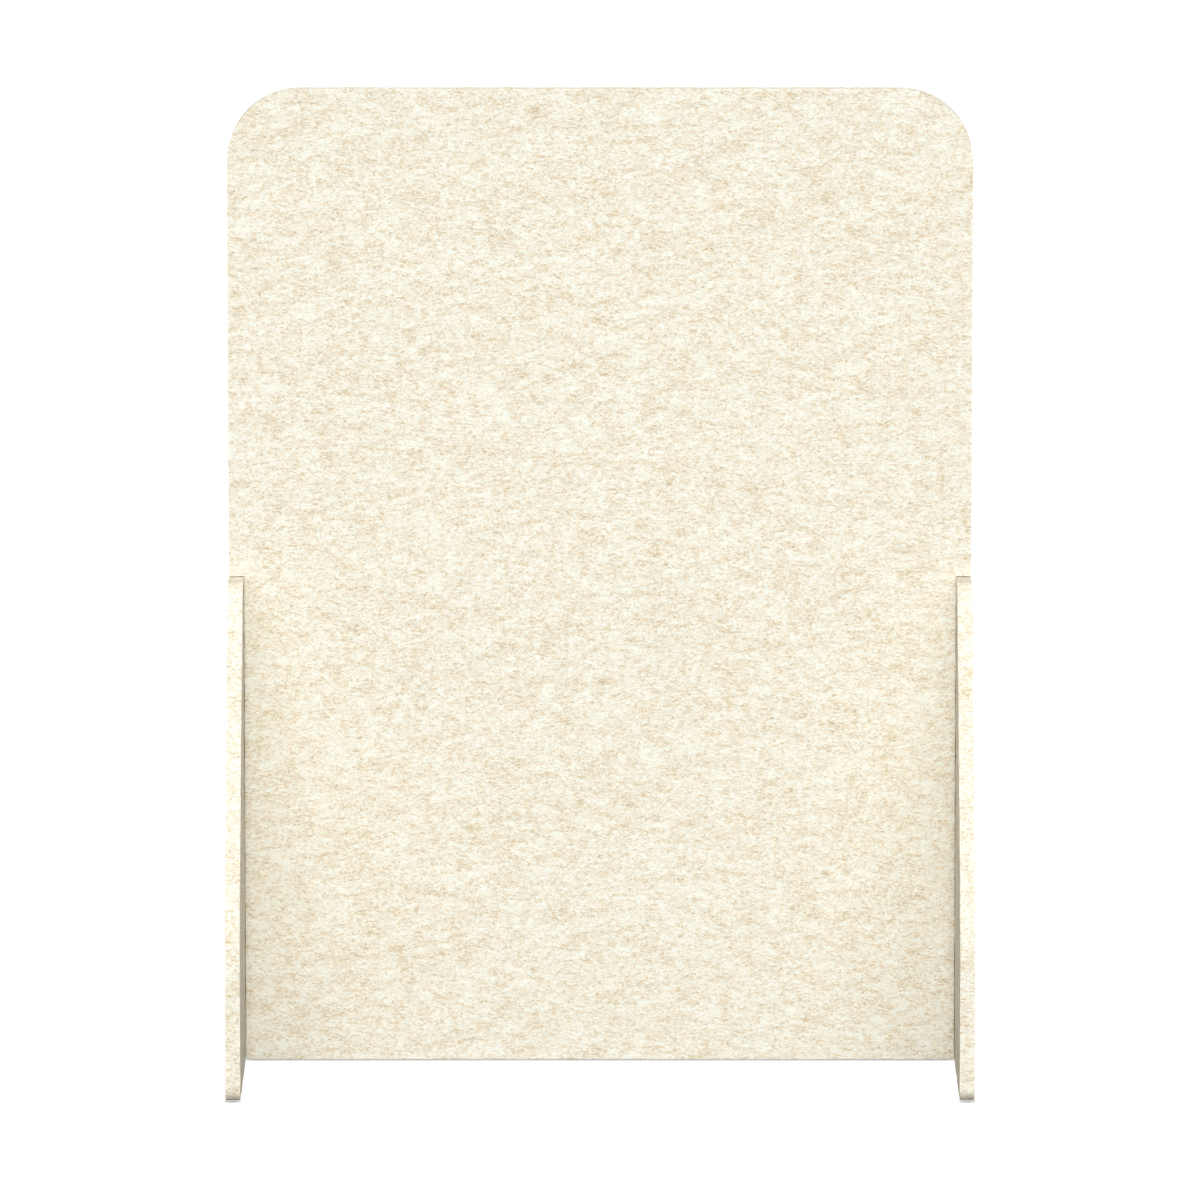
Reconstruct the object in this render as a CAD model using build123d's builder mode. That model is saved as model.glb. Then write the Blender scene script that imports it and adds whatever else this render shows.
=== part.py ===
"""Free-standing acoustic divider screen, cut from thick felt board.

One upright panel stands on the floor between two wings. Each wing is a board set square to the panel,
let into an open notch in the lower half of the panel's side edge, and pulled tight by bolts that run
through the wing into barbed inserts in the panel's edge.

The origin is on the floor, in the middle of the footprint. +X runs along the panel, +Y to its back and
+Z up. All sizes are in millimetres.
"""

import os

from build123d import *

# Felt board that the three large pieces are cut from
board_thickness = 24.0
board_edge_radius = 1.0

# Upright panel
panel_width = 1200.0
panel_height = 1590.0
panel_corner_radius = 118.0

# Wings, seen from the side: an upright foot, a shoulder, then a gently bulging slope to a short top
wing_height = 795.0
wing_depth = 710.0
wing_top_depth = 150.0
wing_shoulder_height = 255.0
wing_slope_bulge = 15.0
wing_foot_radius = 20.0
wing_shoulder_radius = 250.0
wing_top_radius = 20.0

# Gaps between a wing and the notch that it stands in: beside it, and over its top, where a dark line shows
notch_side_clearance = 0.5
notch_top_clearance = 1.4

# Bolts that hold a wing to the panel's edge, in one upright row
bolt_count = 4
bolt_end_distance = 95.0
bolt_radius = 3.0
bolt_engagement = 30.0
bolt_head_radius = 7.0
bolt_head_height = 2.4
bolt_head_edge_radius = 0.8
bolt_socket_radius = 2.3
bolt_socket_depth = 1.6
bolt_hole_clearance = 0.3

# Wide washers that spread the bolts' pull over the soft felt, sunk below the wing's outer face
washer_radius = 14.0
washer_thickness = 2.0
washer_edge_radius = 0.6
washer_hole_clearance = 0.25
washer_side_clearance = 0.4
recess_margin = 0.6

# Barbed inserts in the panel's edge
insert_length = 40.0
insert_barb_count = 8
insert_barb_radius = 7.0
insert_core_radius = 5.4
insert_thread_clearance = 0.1
insert_hole_clearance = 0.2
insert_end_clearance = 1.0

# How far a cutting shape reaches past the face that it leaves by
overrun = 5.0

# Distances from the screen's middle, and other places, worked out from the sizes above
outer_face = panel_width / 2
wing_middle = outer_face - board_thickness / 2
notch_wall = outer_face - board_thickness - notch_side_clearance
notch_width = outer_face - notch_wall
notch_height = wing_height + notch_top_clearance
bolt_pitch = (wing_height - 2 * bolt_end_distance) / (bolt_count - 1)
recess_depth = washer_thickness + bolt_head_height + recess_margin
washer_seat = outer_face - recess_depth
head_seat = washer_seat + washer_thickness
head_top = head_seat + bolt_head_height
bolt_tip = notch_wall - bolt_engagement


def side_plane(side, distance):
    """Upright plane that faces out on one side, at a distance from the middle and at half wing height."""
    return Plane(
        origin=(side * distance, 0, wing_height / 2),
        x_dir=(0, 1, 0),
        z_dir=(side, 0, 0),
    )


def bolt_places():
    """Upright row of bolt centres on a side plane."""
    return GridLocations(0, bolt_pitch, 1, bolt_count)


os.makedirs("parts", exist_ok=True)


# Main panel: rounded top corners, a notch for a wing in each lower side edge, and holes for the inserts
with BuildPart() as main_panel:
    with BuildSketch(Plane.XZ):
        Rectangle(panel_width, panel_height, align=(Align.CENTER, Align.MIN))
        fillet(vertices().group_by(Axis.Y)[-1], panel_corner_radius)
        for side in (-1, 1):
            with Locations((side * (notch_wall + (notch_width + overrun) / 2), -overrun)):
                Rectangle(
                    notch_width + overrun,
                    notch_height + overrun,
                    align=(Align.CENTER, Align.MIN),
                    mode=Mode.SUBTRACT,
                )
    extrude(amount=board_thickness / 2, both=True)
    rims = edges().group_by(Axis.Y)
    fillet(rims[0] + rims[-1], board_edge_radius)
    for side in (-1, 1):
        with Locations(side_plane(side, notch_wall)):
            with bolt_places():
                Hole(
                    insert_barb_radius + insert_hole_clearance,
                    depth=insert_length + insert_end_clearance,
                )

main_panel.part.label = "main_panel"
export_step(main_panel.part, "parts/main_panel.step")


# One insert, standing on its own axis with its mouth at the origin and its barbs leaning out of the hole
barb_pitch = insert_length / insert_barb_count
insert_bore_radius = bolt_radius + insert_thread_clearance

with BuildPart() as insert:
    with BuildSketch(Plane.XZ):
        with BuildLine():
            outline = [(insert_bore_radius, 0)]
            for barb in range(insert_barb_count):
                outline.append((insert_barb_radius, -barb * barb_pitch))
                outline.append((insert_core_radius, -(barb + 1) * barb_pitch))
            outline.append((insert_bore_radius, -insert_length))
            Polyline(outline, close=True)
        make_face()
    revolve(axis=Axis.Z)


# Each side of the screen has a wing with its own row of bolts, washers and inserts
for side_name, side in (("left", -1), ("right", 1)):
    outermost = -1 if side > 0 else 0

    # Wing: curved sloping edges front and back, and a counterbored hole for each bolt
    with BuildPart() as wing:
        with BuildSketch(Plane.YZ.offset(side * wing_middle)):
            with BuildLine():
                foot = Line((-wing_depth / 2, 0), (wing_depth / 2, 0))
                upright = Line(foot @ 1, (wing_depth / 2, wing_shoulder_height))
                slope = SagittaArc(upright @ 1, (wing_top_depth / 2, wing_height), -wing_slope_bulge)
                Line(slope @ 1, (-wing_top_depth / 2, wing_height))
                mirror([upright, slope], about=Plane.YZ)
            make_face()
            fillet(vertices().group_by(Axis.Y)[1], wing_shoulder_radius)
            fillet(vertices().group_by(Axis.Y)[0], wing_foot_radius)
            fillet(vertices().group_by(Axis.Y)[-1], wing_top_radius)
        extrude(amount=board_thickness / 2, both=True)
        rims = edges().group_by(Axis.X)
        fillet(rims[0] + rims[-1], board_edge_radius)
        with Locations(side_plane(side, outer_face)):
            with bolt_places():
                CounterBoreHole(
                    bolt_radius + bolt_hole_clearance,
                    washer_radius + washer_side_clearance,
                    recess_depth,
                )

    wing.part.label = f"{side_name}_wing"
    export_step(wing.part, f"parts/{side_name}_wing.step")

    # Washers: flat rings with a rounded outer rim, on the floor of each counterbore
    with BuildPart() as washers:
        with BuildSketch(side_plane(side, washer_seat)):
            with bolt_places():
                Circle(washer_radius)
                Circle(bolt_radius + washer_hole_clearance, mode=Mode.SUBTRACT)
        extrude(amount=washer_thickness)
        outer_rims = edges().group_by(Axis.X)[outermost].group_by(SortBy.RADIUS)[-1]
        fillet(outer_rims, washer_edge_radius)

    washers.part.label = f"{side_name}_wing_washers"
    export_step(washers.part, f"parts/{side_name}_wing_washers.step")

    # Bolts: low round heads with a hex socket, and a shank that reaches into the insert
    with BuildPart() as bolts:
        with BuildSketch(side_plane(side, head_seat)):
            with bolt_places():
                Circle(bolt_head_radius)
        extrude(amount=bolt_head_height)
        fillet(edges().group_by(Axis.X)[outermost], bolt_head_edge_radius)
        with BuildSketch(side_plane(side, bolt_tip)):
            with bolt_places():
                Circle(bolt_radius)
        extrude(amount=head_seat - bolt_tip)
        with BuildSketch(side_plane(side, head_top)):
            with bolt_places():
                RegularPolygon(bolt_socket_radius, 6)
        extrude(amount=-bolt_socket_depth, mode=Mode.SUBTRACT)

    bolts.part.label = f"{side_name}_wing_bolts"
    export_step(bolts.part, f"parts/{side_name}_wing_bolts.step")

    # Inserts: one in each hole in the panel's edge, flush with the wall of the notch
    with BuildPart() as inserts:
        with Locations(side_plane(side, notch_wall)):
            with bolt_places():
                add(insert.part)

    inserts.part.label = f"{side_name}_panel_inserts"
    export_step(inserts.part, f"parts/{side_name}_panel_inserts.step")
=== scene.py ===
"""Looks of the felt divider screen: three needle-felted boards, their fixings, a white floor and light.

All lengths are in metres unless a name ends in _mm. +X runs along the panel, +Y to its back and +Z up.
"""

import math

import bmesh
import bpy
import numpy as np
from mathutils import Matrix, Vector
from mathutils.geometry import delaunay_2d_cdt


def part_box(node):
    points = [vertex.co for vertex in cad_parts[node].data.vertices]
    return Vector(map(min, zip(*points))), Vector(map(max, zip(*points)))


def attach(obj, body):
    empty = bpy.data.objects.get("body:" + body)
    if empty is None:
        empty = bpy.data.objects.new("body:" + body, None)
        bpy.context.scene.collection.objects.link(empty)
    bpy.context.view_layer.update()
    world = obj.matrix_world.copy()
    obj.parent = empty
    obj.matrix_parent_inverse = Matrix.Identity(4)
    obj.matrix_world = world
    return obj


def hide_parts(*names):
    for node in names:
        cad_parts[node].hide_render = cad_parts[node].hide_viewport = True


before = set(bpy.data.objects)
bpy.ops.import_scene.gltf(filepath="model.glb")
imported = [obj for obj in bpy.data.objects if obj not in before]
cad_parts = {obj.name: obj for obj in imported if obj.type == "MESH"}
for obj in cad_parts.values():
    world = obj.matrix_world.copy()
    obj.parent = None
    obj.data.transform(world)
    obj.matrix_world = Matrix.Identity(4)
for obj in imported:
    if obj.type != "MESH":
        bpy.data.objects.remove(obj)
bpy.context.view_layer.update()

MM_PER_METRE = 1000

# The boards' places, from the frame
panel_low, panel_high = (np.array(corner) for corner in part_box("main_panel"))
wing_low, wing_high = (np.array(corner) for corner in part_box("right_wing"))
washer_low, washer_high = (np.array(corner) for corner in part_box("right_wing_washers"))

PANEL_WIDTH = panel_high[0] - panel_low[0]
PANEL_HEIGHT = panel_high[2]
BOARD = panel_high[1] - panel_low[1]
WING_HEIGHT = wing_high[2]
WING_DEPTH = wing_high[1] - wing_low[1]

# Sizes of the boards' outlines
NOTCH_SIDE_CLEARANCE = 0.0005
NOTCH_TOP_CLEARANCE = 0.0014
PANEL_CORNER_RADIUS = 0.118
WING_TOP_DEPTH = 0.150
WING_SHOULDER_HEIGHT = 0.255
WING_SLOPE_BULGE = 0.015
WING_FOOT_RADIUS = 0.020
WING_SHOULDER_RADIUS = 0.250
WING_TOP_RADIUS = 0.020

# Fixings that the wings' faces open for
BOLT_COUNT = 4
RECESS_RADIUS = 0.0144
RECESS_EDGE_RADIUS = 0.0008
RECESS_DEPTH = wing_high[0] - washer_low[0]
BOLT_HOLE_RADIUS = 0.0033

# The boards' cut edges, and how many steps go round an edge, across a rim and round a counterbore's mouth
EDGE_RADIUS = 0.0007
EDGE_STEPS = 5
RIM_STEPS = 6
MOUTH_STEPS = 3

# How finely outlines, holes and faces are divided, how far inside an outline a face's extra loops run, and
# how close two points are before they count as one
EDGE_SPACING = 0.004
ARC_STEP_DEGREES = 9.0
HOLE_SIDES = 48
FACE_SPACING = 0.011
GUARD_DISTANCES = (2 * EDGE_RADIUS, 4 * EDGE_RADIUS)
WELD = 1e-6
SAME_POINT = 1e-7

# The felt's swell: its usual height, how many waves make it up, the shortest and the longest, and their seed
RELIEF = 0.00016
RELIEF_WAVES = 40
RELIEF_LENGTHS = (0.012, 0.070)
RELIEF_SEED = 41


def linear(code):
    """Linear red, green, blue and alpha of an sRGB hex colour such as "f2ecd9".

    As sRGB says, a very dark channel is divided by a number, and any other is raised to a power.
    """
    srgb = np.array([int(code[i : i + 2], 16) for i in (0, 2, 4)]) / 255
    value = np.where(srgb <= 0.04045, srgb / 12.92, ((srgb + 0.055) / 1.055) ** 2.4)
    return (*value.tolist(), 1.0)


def add(tree, kind, inputs=None, **settings):
    """Adds a node to a tree, sets its properties, and fills or links its inputs by name or number."""
    node = tree.nodes.new(kind)
    for name, value in settings.items():
        setattr(node, name, value)
    for key, value in (inputs or {}).items():
        if isinstance(value, bpy.types.NodeSocket):
            tree.links.new(value, node.inputs[key])
        else:
            node.inputs[key].default_value = value
    return node


def new_material(name):
    """An empty material and its node tree."""
    material = bpy.data.materials.new(name)
    material.use_nodes = True
    material.node_tree.nodes.clear()
    return material, material.node_tree


# Materials


def needle_felt():
    """Needle-felted polyester board: fine crimped fibres in cream, white and tan, punched into a mat.

    The eye sees no weave. It sees short wavy streaks of fibre that lie level, gathered into soft tan and
    near-white clouds a few centimetres long, with single fibres a little greyer or warmer than the rest,
    and a dry surface with next to no gloss.
    """
    material, tree = new_material("needle_felted_polyester")
    place = add(tree, "ShaderNodeTexCoord").outputs["Object"]
    # Each pattern is laid out at its own real size along the board, into it and up, and whole metres away
    # from the others
    sizes_mm = {"clouds": (32, 32, 14.5), "streaks": (5.8, 5.8, 2.6), "tints": (4.8, 4.8, 3.4)}
    laid = {}
    for shift, (name, size) in enumerate(sizes_mm.items()):
        metres = [length / MM_PER_METRE for length in size]
        spread = {"Vector": place, "Location": (shift, shift, shift), "Scale": metres}
        laid[name] = add(tree, "ShaderNodeMapping", spread, vector_type="TEXTURE").outputs["Vector"]
    # Clouds of tan and white fibre, broken up six times over, down to single tufts
    clouds = add(
        tree,
        "ShaderNodeTexNoise",
        {"Vector": laid["clouds"], "Scale": 1.0, "Detail": 6.0, "Roughness": 0.88, "Distortion": 0.5},
    ).outputs["Fac"]
    # Fibre streaks: real fibres are a twentieth of a millimetre thick, and these are as coarse as shows
    streaks = add(
        tree,
        "ShaderNodeTexNoise",
        {"Vector": laid["streaks"], "Scale": 1.0, "Detail": 1.0, "Roughness": 0.8, "Distortion": 1.0},
    ).outputs["Fac"]
    both = add(tree, "ShaderNodeMix", {"Factor": 0.5, "A": clouds, "B": streaks}).outputs[0]
    ramp = add(tree, "ShaderNodeValToRGB", {"Fac": both})
    colours = ((0.31, "c9b28f"), (0.42, "e5d4b3"), (0.50, "f6eedb"), (0.57, "fdfaeb"), (0.65, "fffff6"))
    stops = ramp.color_ramp.elements
    while len(stops) < len(colours):
        stops.new(0.5)
    for stop, (position, code) in zip(stops, colours):
        stop.position = position
        stop.color = linear(code)
    # Some fibres are greyer, the others warmer
    tints = add(
        tree,
        "ShaderNodeTexNoise",
        {"Vector": laid["tints"], "Scale": 1.0, "Detail": 1.0, "Roughness": 0.8, "Distortion": 0.4},
    ).outputs["Fac"]
    greyness = add(
        tree,
        "ShaderNodeMapRange",
        {"Value": tints, "From Min": 0.40, "From Max": 0.62},
    ).outputs["Result"]
    colour = add(
        tree,
        "ShaderNodeMix",
        {"Factor": greyness, "A": ramp.outputs["Color"], "B": linear("f6fbff")},
        data_type="RGBA",
        blend_type="MULTIPLY",
    )
    # The streaks stand a little proud, as loops that the needles left
    bump = add(
        tree,
        "ShaderNodeBump",
        {"Height": streaks, "Strength": 0.25, "Distance": 0.0006},
    ).outputs["Normal"]
    shader = add(
        tree,
        "ShaderNodeBsdfPrincipled",
        {
            "Base Color": colour.outputs[2],
            "Normal": bump,
            "Roughness": 0.95,
            "IOR": 1.5,
            "Specular IOR Level": 0.05,
        },
    )
    add(tree, "ShaderNodeOutputMaterial", {"Surface": shader.outputs["BSDF"]})
    return material


def zinc_plated_steel(name, dull, bright, smoothest, roughest):
    """Zinc-plated steel: a grey between a dull and a bright one, faintly mottled where plating grew."""
    material, tree = new_material(name)
    place = add(tree, "ShaderNodeTexCoord").outputs["Object"]
    mottle_mm = 2.5
    spread = {"Vector": place, "Scale": MM_PER_METRE / mottle_mm, "Detail": 3.0}
    mottle = add(tree, "ShaderNodeTexNoise", spread).outputs["Fac"]
    colour = add(
        tree,
        "ShaderNodeMix",
        {"Factor": mottle, "A": linear(dull), "B": linear(bright)},
        data_type="RGBA",
    )
    roughness = add(
        tree,
        "ShaderNodeMapRange",
        {"Value": mottle, "To Min": smoothest, "To Max": roughest},
    ).outputs["Result"]
    shader = add(
        tree,
        "ShaderNodeBsdfPrincipled",
        {"Base Color": colour.outputs[2], "Metallic": 1.0, "Roughness": roughness},
    )
    add(tree, "ShaderNodeOutputMaterial", {"Surface": shader.outputs["BSDF"]})
    return material


def turned_brass():
    """Turned brass: warm metal with fine rings left by the lathe, one for each feed of its tool."""
    material, tree = new_material("turned_brass")
    place = add(tree, "ShaderNodeTexCoord").outputs["Object"]
    feed_mm = 0.35
    # At a scale of 1, a wave texture's sine runs through twenty radians to the metre
    wave_radians = 20
    scale = math.tau / wave_radians * MM_PER_METRE / feed_mm
    spread = {"Vector": place, "Scale": scale, "Distortion": 0.5}
    rings = add(tree, "ShaderNodeTexWave", spread, bands_direction="X").outputs["Fac"]
    roughness = add(
        tree,
        "ShaderNodeMapRange",
        {"Value": rings, "To Min": 0.22, "To Max": 0.38},
    ).outputs["Result"]
    shader = add(
        tree,
        "ShaderNodeBsdfPrincipled",
        {"Base Color": linear("d8b569"), "Metallic": 1.0, "Roughness": roughness},
    )
    add(tree, "ShaderNodeOutputMaterial", {"Surface": shader.outputs["BSDF"]})
    return material


# Board shapes


def arc(centre, radius, start, end):
    """Points on a circle, from one angle to another in degrees, about one edge spacing apart.

    Each is the centre plus the radius times its angle's cosine and sine.
    """
    by_length = math.ceil(abs(math.radians(end - start)) * radius / EDGE_SPACING)
    by_angle = math.ceil(abs(end - start) / ARC_STEP_DEGREES)
    angle = np.radians(np.linspace(start, end, max(by_length, by_angle) + 1))
    return np.array(centre) + radius * np.column_stack((np.cos(angle), np.sin(angle)))


def ring(centre, radius):
    """Points evenly round a bolt hole, clockwise, so that the felt lies on their left."""
    angle = np.arange(HOLE_SIDES) * (-2 * math.pi / HOLE_SIDES)
    return np.array(centre) + radius * np.column_stack((np.cos(angle), np.sin(angle)))


def closed_path(stretches):
    """Joins arcs and single corners, in order round a closed outline, by evenly divided straight runs."""
    corners = np.concatenate(stretches)
    steps = np.roll(corners, -1, axis=0) - corners
    counts = np.maximum(1, np.ceil(np.linalg.norm(steps, axis=1) / EDGE_SPACING)).astype(int)
    starts = np.repeat(corners, counts, axis=0)
    shares = np.concatenate([np.arange(count) / count for count in counts])
    return starts + np.repeat(steps, counts, axis=0) * shares[:, None]


def inset(path, distance):
    """Moves a closed path, drawn anticlockwise, inward by a distance, mitred at its corners.

    Each point moves against the sum of its two edges' outward normals, by that sum divided by one plus
    the normals' dot product and times the distance.
    """
    forward = np.roll(path, -1, axis=0) - path
    forward /= np.linalg.norm(forward, axis=1)[:, None]
    after = np.column_stack((forward[:, 1], -forward[:, 0]))
    before = np.roll(after, 1, axis=0)
    mitre = (before + after) / (1 + np.sum(before * after, axis=1))[:, None]
    return path - mitre * distance


def panel_outline():
    """The panel from the front, in X and Z: rounded top corners and a square step above each notch."""
    half = PANEL_WIDTH / 2
    notch_wall = half - BOARD - NOTCH_SIDE_CLEARANCE
    notch_top = WING_HEIGHT + NOTCH_TOP_CLEARANCE
    centre_x = half - PANEL_CORNER_RADIUS
    centre_z = PANEL_HEIGHT - PANEL_CORNER_RADIUS
    return closed_path(
        [
            [(notch_wall, 0), (notch_wall, notch_top), (half, notch_top)],
            arc((centre_x, centre_z), PANEL_CORNER_RADIUS, 0, 90),
            arc((-centre_x, centre_z), PANEL_CORNER_RADIUS, 90, 180),
            [(-half, notch_top), (-notch_wall, notch_top), (-notch_wall, 0)],
        ]
    )


def wing_outline():
    """The wing from its right, in Y and Z: each half has an arc for its foot, shoulder, slope and top.

    The slope's arc runs between the shoulder's corner and the top's end and bulges by a given height over
    its chord: its radius is a quarter of the chord's square plus the bulge's square, over twice the bulge.
    The other arcs round the corners. Each one's centre lies its radius inside a straight run that it
    touches, and as far from the slope's centre, where it touches that, as their radii differ.
    """
    half = WING_DEPTH / 2
    shoulder = np.array((half, WING_SHOULDER_HEIGHT))
    top_end = np.array((WING_TOP_DEPTH / 2, WING_HEIGHT))
    chord = top_end - shoulder
    length = np.linalg.norm(chord)
    radius = (length**2 / 4 + WING_SLOPE_BULGE**2) / (2 * WING_SLOPE_BULGE)
    inward = np.array((-chord[1], chord[0])) / length
    slope_centre = (shoulder + top_end) / 2 + inward * (radius - WING_SLOPE_BULGE)
    shoulder_x = half - WING_SHOULDER_RADIUS
    reach = radius - WING_SHOULDER_RADIUS
    shoulder_z = slope_centre[1] + math.sqrt(reach**2 - (shoulder_x - slope_centre[0]) ** 2)
    top_z = WING_HEIGHT - WING_TOP_RADIUS
    reach = radius - WING_TOP_RADIUS
    top_x = slope_centre[0] + math.sqrt(reach**2 - (top_z - slope_centre[1]) ** 2)
    low_angle = math.degrees(math.atan2(shoulder_z - slope_centre[1], shoulder_x - slope_centre[0]))
    high_angle = math.degrees(math.atan2(top_z - slope_centre[1], top_x - slope_centre[0]))
    front = np.concatenate(
        [
            arc((half - WING_FOOT_RADIUS, WING_FOOT_RADIUS), WING_FOOT_RADIUS, -90, 0),
            arc((shoulder_x, shoulder_z), WING_SHOULDER_RADIUS, 0, low_angle),
            arc(slope_centre, radius, low_angle, high_angle)[1:],
            arc((top_x, top_z), WING_TOP_RADIUS, high_angle, 90)[1:],
        ]
    )
    return closed_path([front, front[::-1] * (-1, 1)])


def rim_profile():
    """A board's rim from its front face to its back: distances in from the outline, and places across.

    It is a quarter circle round the front edge, evenly divided straight felt, and the same quarter circle
    mirrored round the back edge.
    """
    turn = np.radians(np.linspace(90, 0, EDGE_STEPS + 1))
    across = BOARD / 2 - EDGE_RADIUS
    distance = EDGE_RADIUS * (1 - np.cos(turn))
    front = np.column_stack((distance, across + EDGE_RADIUS * np.sin(turn)))
    between = np.linspace(across, -across, RIM_STEPS + 1)[1:-1]
    middle = np.column_stack((np.zeros(len(between)), between))
    back = front[::-1] * (1, -1)
    return np.concatenate((front, middle, back))


def walled(loops, places):
    """Quads between loops of as many points each, laid in turn at their places across the board."""
    points = np.concatenate(
        [np.column_stack((loop, np.full(len(loop), across))) for loop, across in zip(loops, places)]
    )
    count = len(loops[0])
    row, step = np.meshgrid(np.arange(len(loops) - 1), np.arange(count), indexing="ij")
    here = row * count + step
    beside = row * count + (step + 1) % count
    faces = np.stack((here, here + count, beside + count, beside), axis=-1)
    return points, faces.reshape(-1, 4)


def carried(path, profile):
    """A closed path carried along a profile: loops set in from it, placed across as the profile says."""
    loops = [inset(path, distance) for distance, _ in profile]
    return walled(loops, [across for _, across in profile])


def bolt_hole(centre):
    """A counterbored hole from a wing's outer face to its inner one.

    Its circles follow a quarter circle round the mouth, run straight down to the washer's seat, narrow
    there to the bolt, and run straight to the inner face.
    """
    outer = BOARD / 2
    turn = np.radians(np.linspace(0, 90, MOUTH_STEPS + 1))
    mouth = np.column_stack(
        (
            RECESS_RADIUS + RECESS_EDGE_RADIUS * (1 - np.sin(turn)),
            outer - RECESS_EDGE_RADIUS * (1 - np.cos(turn)),
        )
    )
    seat = outer - RECESS_DEPTH
    straight = [(RECESS_RADIUS, seat), (BOLT_HOLE_RADIUS, seat), (BOLT_HOLE_RADIUS, -outer)]
    profile = np.concatenate((mouth, straight))
    return walled([ring(centre, radius) for radius, _ in profile], profile[:, 1])


def filled(path, holes, across):
    """A flat face inside a path, less its round holes, as triangles over a triangular lattice of points.

    Two loops just inside the path keep the soft edge's shading off the flat of the face.
    """
    low, high = path.min(axis=0), path.max(axis=0)
    rows = np.arange(low[1], high[1], FACE_SPACING * math.sqrt(3) / 2)
    columns = np.arange(low[0] - FACE_SPACING, high[0], FACE_SPACING)
    x, y = np.meshgrid(columns, rows)
    x = x + np.where(np.arange(len(rows)) % 2, FACE_SPACING / 2, 0)[:, None]
    lattice = np.column_stack((x.ravel(), y.ravel()))
    borders = [inset(path, EDGE_RADIUS)]
    guards = [inset(path, distance) for distance in GUARD_DISTANCES]
    keep = np.ones(len(lattice), dtype=bool)
    for centre, radius in holes:
        borders.append(ring(centre, radius))
        guards.append(ring(centre, radius + EDGE_RADIUS))
        keep &= np.linalg.norm(lattice - centre, axis=1) > radius + FACE_SPACING / 2
    loops = borders + guards
    points = np.concatenate(loops + [lattice[keep]])
    starts = np.cumsum([0] + [len(loop) for loop in loops])
    edges = []
    for start, loop in zip(starts, borders):
        here = np.arange(start, start + len(loop))
        edges += np.column_stack((here, np.roll(here, -1))).tolist()
    corners = [Vector(point) for point in points.tolist()]
    # Kind 1 gives only the triangles inside the outermost border
    kind = 1
    corners, _, triangles, *_ = delaunay_2d_cdt(corners, edges, [], kind, SAME_POINT)
    points = np.array([tuple(corner) for corner in corners])
    triangles = np.array(triangles)
    for centre, radius in holes:
        middles = points[triangles].mean(axis=1)
        triangles = triangles[np.linalg.norm(middles - centre, axis=1) > radius]
    # The lattice's points outside the path belong to no triangle
    used, numbers = np.unique(triangles, return_inverse=True)
    points = points[used]
    triangles = numbers.reshape(triangles.shape)
    if across < 0:
        triangles = triangles[:, ::-1]
    return np.column_stack((points, np.full(len(points), across))), triangles


def felt_relief(points):
    """Height of the felt's swell at each point: plane waves in seeded directions, added.

    Each wave is the sine of a point's distance along its direction, in turns of its own length, plus a
    phase. The sum is scaled so that its root mean square is the swell's usual height.
    """
    dice = np.random.default_rng(RELIEF_SEED)
    heading = dice.normal(size=(RELIEF_WAVES, 3))
    heading /= np.linalg.norm(heading, axis=1)[:, None]
    length = dice.uniform(*RELIEF_LENGTHS, size=RELIEF_WAVES)
    phase = dice.uniform(0, 2 * math.pi, size=RELIEF_WAVES)
    waves = np.sin(points @ (heading * (2 * math.pi / length)[:, None]).T + phase)
    return RELIEF * waves.sum(axis=1) * math.sqrt(2 / RELIEF_WAVES)


def felt_board(name, shells, stand, material):
    """One board from its rim, faces and holes: stood in place, welded, and given the felt's swell."""
    mesh = bpy.data.meshes.new(name)
    vertices = []
    faces = []
    count = 0
    for points, polygons in shells:
        vertices.append(points)
        faces += (polygons + count).tolist()
        count += len(points)
    mesh.from_pydata(stand(np.concatenate(vertices)), [], faces)
    shape = bmesh.new()
    shape.from_mesh(mesh)
    bmesh.ops.remove_doubles(shape, verts=shape.verts, dist=WELD)
    shape.to_mesh(mesh)
    shape.free()
    mesh.update()
    points = np.empty(len(mesh.vertices) * 3, dtype=np.float32)
    normals = np.empty_like(points)
    mesh.vertices.foreach_get("co", points)
    mesh.vertices.foreach_get("normal", normals)
    points = points.reshape(-1, 3)
    normals = normals.reshape(-1, 3)
    points = points + normals * felt_relief(points)[:, None]
    # The swell doesn't push a foot through the floor
    points[:, 2] = np.maximum(points[:, 2], 0)
    mesh.vertices.foreach_set("co", points.ravel())
    mesh.polygons.foreach_set("use_smooth", np.ones(len(mesh.polygons), dtype=bool))
    mesh.materials.append(material)
    mesh.update()
    board = bpy.data.objects.new(name, mesh)
    bpy.context.collection.objects.link(board)
    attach(board, "root")
    return board


def stand_panel(points):
    """From the panel's outline plane to the room: across the board is towards the front."""
    return np.column_stack((points[:, 0], -points[:, 2], points[:, 1]))


def stand_wing(side):
    """From the wing's outline plane to the room, turned half round for the left side."""
    middle = (wing_low[0] + wing_high[0]) / 2

    def stand(points):
        return np.column_stack((side * (middle + points[:, 2]), side * points[:, 0], points[:, 1]))

    return stand


# The object's pieces

felt = needle_felt()

outline = panel_outline()
panel_shells = [
    carried(outline, rim_profile()),
    filled(outline, [], BOARD / 2),
    filled(outline, [], -BOARD / 2),
]
panel = felt_board("felt_panel", panel_shells, stand_panel, felt)
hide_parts("main_panel")

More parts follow.
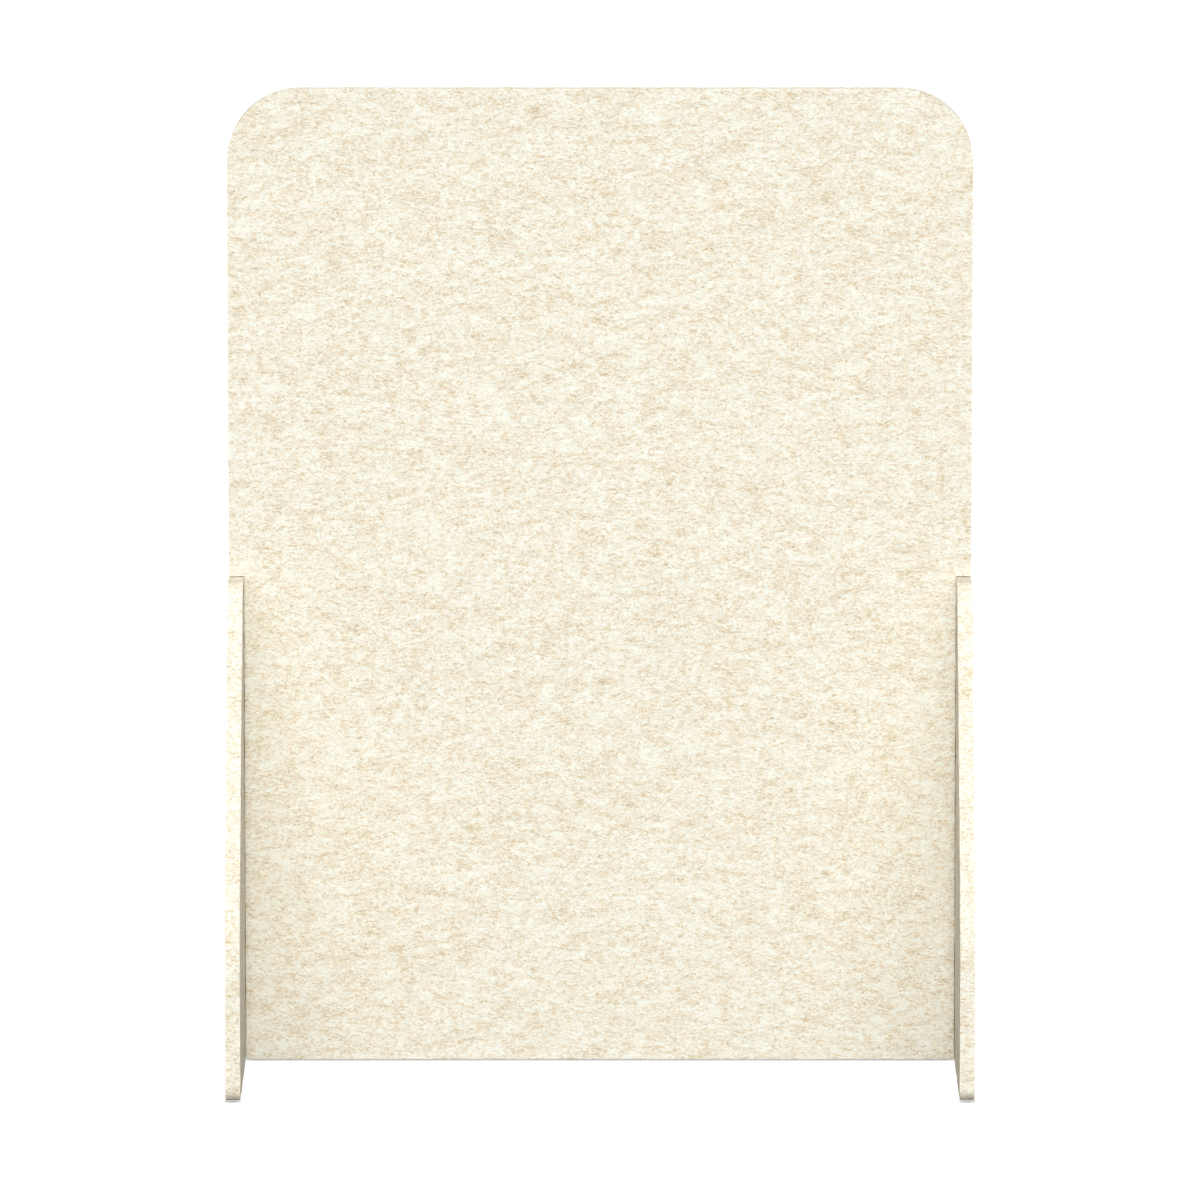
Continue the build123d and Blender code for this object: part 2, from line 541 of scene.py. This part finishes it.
washer_radius = (washer_high[1] - washer_low[1]) / 2
bolt_heights = np.linspace(washer_low[2] + washer_radius, washer_high[2] - washer_radius, BOLT_COUNT)
bolt_centres = [(0.0, height) for height in bolt_heights]
outer_holes = [(centre, RECESS_RADIUS + RECESS_EDGE_RADIUS) for centre in bolt_centres]
inner_holes = [(centre, BOLT_HOLE_RADIUS) for centre in bolt_centres]
outline = wing_outline()
wing_shells = [
    carried(outline, rim_profile()),
    filled(outline, outer_holes, BOARD / 2),
    filled(outline, inner_holes, -BOARD / 2),
]
wing_shells += [bolt_hole(centre) for centre in bolt_centres]
for side_name, side in (("left", -1), ("right", 1)):
    wing = felt_board(f"felt_{side_name}_wing", wing_shells, stand_wing(side), felt)
    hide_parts(f"{side_name}_wing")

# The washers are blanked from bright sheet. The bolts' cold-headed heads are rougher, and a darker grey
# that is painted shade for the shadow round each head and in its socket.
finishes = {
    "washers": zinc_plated_steel(
        "zinc_plated_sheet",
        dull="b4b8bc",
        bright="d6d8da",
        smoothest=0.25,
        roughest=0.42,
    ),
    "bolts": zinc_plated_steel(
        "zinc_plated_bolt_painted_shade",
        dull="7f8488",
        bright="a4a8ab",
        smoothest=0.35,
        roughest=0.5,
    ),
    "inserts": turned_brass(),
}
for name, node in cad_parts.items():
    finish = finishes.get(name.rsplit("_", 1)[1])
    if finish:
        for slot in node.material_slots:
            slot.material = finish


# The room: a white floor with contact shadows painted into its glow, and a white surround

FLOOR_SIZE = 80.0
FLOOR_ALBEDO = 0.20
FLOOR_GLOW = 0.95
# How far the floor looks for something that stands on it, how many ways, and how much less it glows for
# each part of its level view that is closed towards the screen alone
CONTACT_REACH = 0.015
CONTACT_SAMPLES = 4
CONTACT_SHADE = 1.35
SURROUND_LIGHT = 0.545


def seen(tree):
    """One where a camera, glossy or transmitted ray sees a surface, and zero for light bounced off it."""
    rays = add(tree, "ShaderNodeLightPath").outputs
    either = add(
        tree,
        "ShaderNodeMath",
        {0: rays["Is Camera Ray"], 1: rays["Is Glossy Ray"]},
        operation="MAXIMUM",
    ).outputs[0]
    return add(
        tree,
        "ShaderNodeMath",
        {0: either, 1: rays["Is Transmission Ray"]},
        operation="MAXIMUM",
    ).outputs[0]


def white_floor():
    """Seamless white paper: matt, glowing past white, with painted shadow before and behind what stands on
    it.

    A point of the floor looks level along Y, away from the screen's middle and towards it. Its glow is
    painted darker by how much more is closed within reach towards the screen than away from it, so a wing's
    painted shadow falls beyond its ends and not beside it.
    """
    material, tree = new_material("white_paper_floor")
    paper = add(tree, "ShaderNodeBsdfDiffuse", {"Color": (FLOOR_ALBEDO,) * 3 + (1.0,)})
    place = add(tree, "ShaderNodeTexCoord").outputs["Object"]
    along = add(tree, "ShaderNodeSeparateXYZ", {"Vector": place}).outputs["Y"]
    away = add(tree, "ShaderNodeMath", {0: along}, operation="SIGN").outputs[0]
    towards = add(tree, "ShaderNodeMath", {0: away, 1: -1.0}, operation="MULTIPLY").outputs[0]
    open_ways = []
    for way in (away, towards):
        level = add(tree, "ShaderNodeCombineXYZ", {"Y": way}).outputs["Vector"]
        look = {"Distance": CONTACT_REACH, "Normal": level}
        view = add(tree, "ShaderNodeAmbientOcclusion", look, samples=CONTACT_SAMPLES)
        open_ways.append(view.outputs["AO"])
    closed = add(
        tree,
        "ShaderNodeMath",
        {0: open_ways[0], 1: open_ways[1]},
        operation="SUBTRACT",
    ).outputs[0]
    # The floor's glow, lowered where the screen closes its view: a painted shadow
    glow_with_painted_shadow = add(
        tree,
        "ShaderNodeMath",
        {0: closed, 1: -CONTACT_SHADE, 2: FLOOR_GLOW},
        operation="MULTIPLY_ADD",
    ).outputs[0]
    glow_here = add(tree, "ShaderNodeMath", {0: glow_with_painted_shadow, 1: 0.0}, operation="MAXIMUM").outputs[0]
    strength = add(
        tree,
        "ShaderNodeMath",
        {0: seen(tree), 1: glow_here},
        operation="MULTIPLY",
    ).outputs[0]
    glow = add(tree, "ShaderNodeEmission", {"Strength": strength})
    both = add(tree, "ShaderNodeAddShader", {0: paper.outputs[0], 1: glow.outputs[0]})
    add(tree, "ShaderNodeOutputMaterial", {"Surface": both.outputs[0]})
    return material


half_floor = FLOOR_SIZE / 2
floor_mesh = bpy.data.meshes.new("floor")
floor_corners = [
    (-half_floor, -half_floor, 0),
    (half_floor, -half_floor, 0),
    (half_floor, half_floor, 0),
    (-half_floor, half_floor, 0),
]
floor_mesh.from_pydata(floor_corners, [], [(0, 1, 2, 3)])
floor_mesh.materials.append(white_floor())
floor = bpy.data.objects.new("floor", floor_mesh)
bpy.context.collection.objects.link(floor)

world = bpy.data.worlds.new("white_surround")
bpy.context.scene.world = world
world.use_nodes = True
world.node_tree.nodes.clear()
amount = add(
    world.node_tree,
    "ShaderNodeMapRange",
    {"Value": seen(world.node_tree), "To Min": SURROUND_LIGHT, "To Max": 1.0},
)
surround = add(
    world.node_tree,
    "ShaderNodeBackground",
    {"Color": (1.0, 1.0, 1.0, 1.0), "Strength": amount.outputs["Result"]},
)
add(world.node_tree, "ShaderNodeOutputWorld", {"Surface": surround.outputs[0]})


# Light

# The photo's wings throw little light back on to the panel, so most lamps' light stops where it first lands.
# Metal mirrors the white surround and not the lamps.
FILL_BOUNCES = 8


def soft_sun(name, heading, height, disc, level, bounces):
    """A sun with a soft disc that shines on the screen.

    Its heading round the screen, from the front by way of the right, its height above the level and its
    disc's width are in degrees. Its level is how brightly it lights a surface that faces it.
    """
    lamp = bpy.data.lights.new(name, "SUN")
    lamp.angle = math.radians(disc)
    lamp.energy = math.pi * level
    lamp.cycles.max_bounces = bounces
    light = bpy.data.objects.new(name, lamp)
    light.rotation_euler = (math.radians(90 - height), 0, math.radians(heading))
    light.visible_glossy = False
    bpy.context.collection.objects.link(light)


soft_sun("front", heading=0, height=8, disc=6, level=0.332, bounces=0)
soft_sun("low_fill", heading=0, height=15, disc=56, level=0.175, bounces=FILL_BOUNCES)
soft_sun("high_fill", heading=0, height=52, disc=60, level=0.33, bounces=FILL_BOUNCES)
soft_sun("back", heading=180, height=5, disc=6, level=0.62, bounces=0)

# Softboxes at the sides, with grids that keep their light level. Each lights the near wing's outer face, in
# whose shadow the other wing stands. Their light ends where the panel's rounded corners start, because the
# photo shows the cut edge there in shade.

SOFTBOX_LEVEL = 0.55
SOFTBOX_GAP = 1.0
SOFTBOX_WIDTH = 1.6
SOFTBOX_HEIGHT = PANEL_HEIGHT - PANEL_CORNER_RADIUS
SOFTBOX_SPREAD = math.radians(6)


def side_softbox(name, side):
    """A gridded softbox that stands on the floor beside the screen and faces it."""
    lamp = bpy.data.lights.new(name, "AREA")
    lamp.shape = "RECTANGLE"
    lamp.size = SOFTBOX_WIDTH
    lamp.size_y = SOFTBOX_HEIGHT
    lamp.spread = SOFTBOX_SPREAD
    lamp.energy = math.pi * SOFTBOX_LEVEL * SOFTBOX_WIDTH * SOFTBOX_HEIGHT
    lamp.cycles.max_bounces = 0
    light = bpy.data.objects.new(name, lamp)
    light.location = (side * (PANEL_WIDTH / 2 + SOFTBOX_GAP), 0, SOFTBOX_HEIGHT / 2)
    light.rotation_euler = (math.pi / 2, 0, side * math.pi / 2)
    light.visible_camera = False
    light.visible_glossy = False
    bpy.context.collection.objects.link(light)


side_softbox("left", -1)
side_softbox("right", 1)


# Camera: a very long lens, a little above the screen, that looks along Y and slightly down

CAMERA_DISTANCE = 21.780
CAMERA_TILT = 9.60
AIM_HEIGHT = 0.7575
FARTHEST_SEEN = 200.0
SENSOR_MM = 36.0
# The photo is 1200 pixels wide, and a metre that the camera faces at its aim covers 618.5 of them
PHOTO_WIDTH = 1200.0
PIXELS_PER_METRE = 618.5
FOCAL_MM = SENSOR_MM * PIXELS_PER_METRE * CAMERA_DISTANCE / PHOTO_WIDTH

tilt = math.radians(CAMERA_TILT)
aim_y = -BOARD / 2
camera_data = bpy.data.cameras.new("camera")
camera_data.sensor_width = SENSOR_MM
camera_data.lens = FOCAL_MM
camera_data.clip_end = FARTHEST_SEEN
camera = bpy.data.objects.new("camera", camera_data)
camera.location = (
    0,
    aim_y - CAMERA_DISTANCE * math.cos(tilt),
    AIM_HEIGHT + CAMERA_DISTANCE * math.sin(tilt),
)
camera.rotation_euler = (math.pi / 2 - tilt, 0, 0)
bpy.context.collection.objects.link(camera)
bpy.context.scene.camera = camera

bpy.context.scene.view_settings.view_transform = "Standard"
